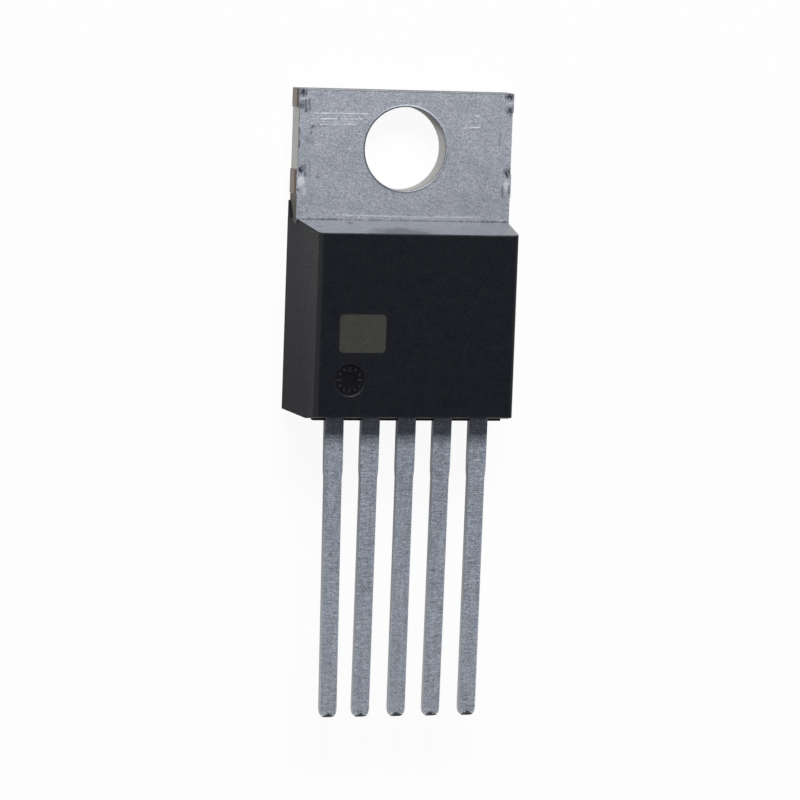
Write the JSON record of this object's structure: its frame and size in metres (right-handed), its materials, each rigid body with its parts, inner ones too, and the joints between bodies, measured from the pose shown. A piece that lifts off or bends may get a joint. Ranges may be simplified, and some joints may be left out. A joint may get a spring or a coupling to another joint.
{
  "type": "voltage regulator",
  "caption": "Black moulded voltage regulator with a tin-plated mounting tab, a round hole through the tab and a row of flat straight leads.",
  "frame": {"origin": "axis of the mounting hole at the back face of the tab", "axes": "+Z out of the front face along the hole, +Y from the leads towards the top of the tab, +X to the right seen from the front; the part lies on its back face"},
  "size_m": [0.0102, 0.0286, 0.0044],
  "materials": {
    "tinned_copper": "matte tin plate over copper alloy, bare copper where the tie bars were cut",
    "epoxy": "black moulding compound with a fine matte texture",
    "solder": "dull solder",
    "silicon": "polished silicon",
    "aluminium_wire": "bright drawn wire"
  },
  "bodies": {
    "root": {"heatsink_tab": "tinned_copper", "moulded_body": "epoxy", "lead_1": "tinned_copper", "lead_2": "tinned_copper", "lead_4": "tinned_copper", "lead_5": "tinned_copper", "die_solder": "solder", "die": "silicon", "bond_wire_1": "aluminium_wire", "bond_wire_2": "aluminium_wire", "bond_wire_3": "aluminium_wire", "bond_wire_4": "aluminium_wire", "bond_wire_5": "aluminium_wire"}
  },
  "joints": []
}
